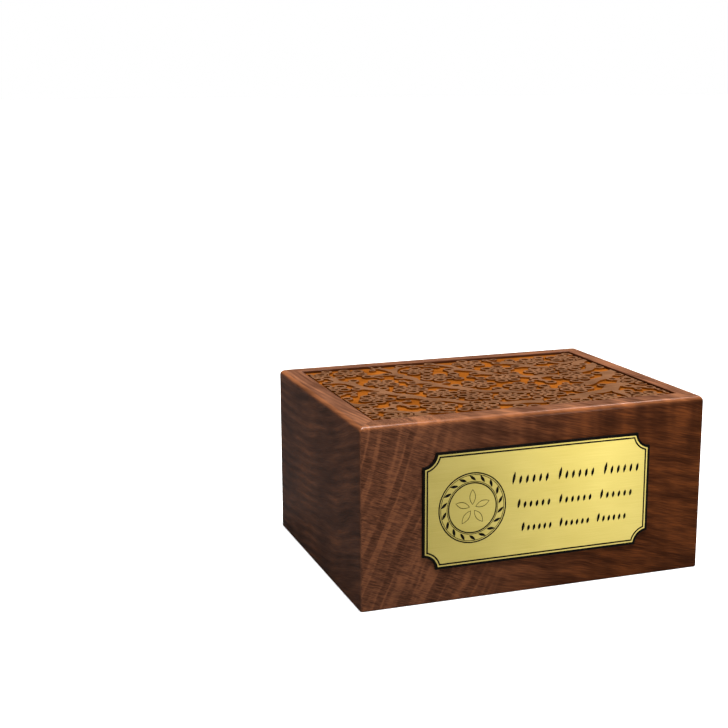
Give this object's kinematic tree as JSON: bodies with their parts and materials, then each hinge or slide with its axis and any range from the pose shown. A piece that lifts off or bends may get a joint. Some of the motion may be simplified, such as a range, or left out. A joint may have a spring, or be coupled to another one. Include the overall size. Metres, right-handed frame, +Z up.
{
  "type": "cremation urn box",
  "caption": "Mitred dark wooden urn box with rounded rim, carved blossom-tree top panel, plain base and an engraved brass name plate on the front.",
  "frame": {"origin": "middle of the underside, under the centre of the bounding box", "axes": "+Z up, -Y out of the front with the name plate, +X to the right as the plate is read"},
  "size_m": [0.19, 0.143, 0.094],
  "materials": {
    "polished_wood": "satin lacquered dark rosewood, streaked grain",
    "carved_wood": "matt carved wood, orange-brown in the cut ground",
    "brass": "horizontally brushed, with black border lines and black-filled engraving"
  },
  "bodies": {
    "root": {"front_wall": "polished_wood", "back_wall": "polished_wood", "left_wall": "polished_wood", "right_wall": "polished_wood", "base_panel": "polished_wood", "carved_top_panel": "carved_wood", "name_plate": "brass"}
  },
  "joints": []
}
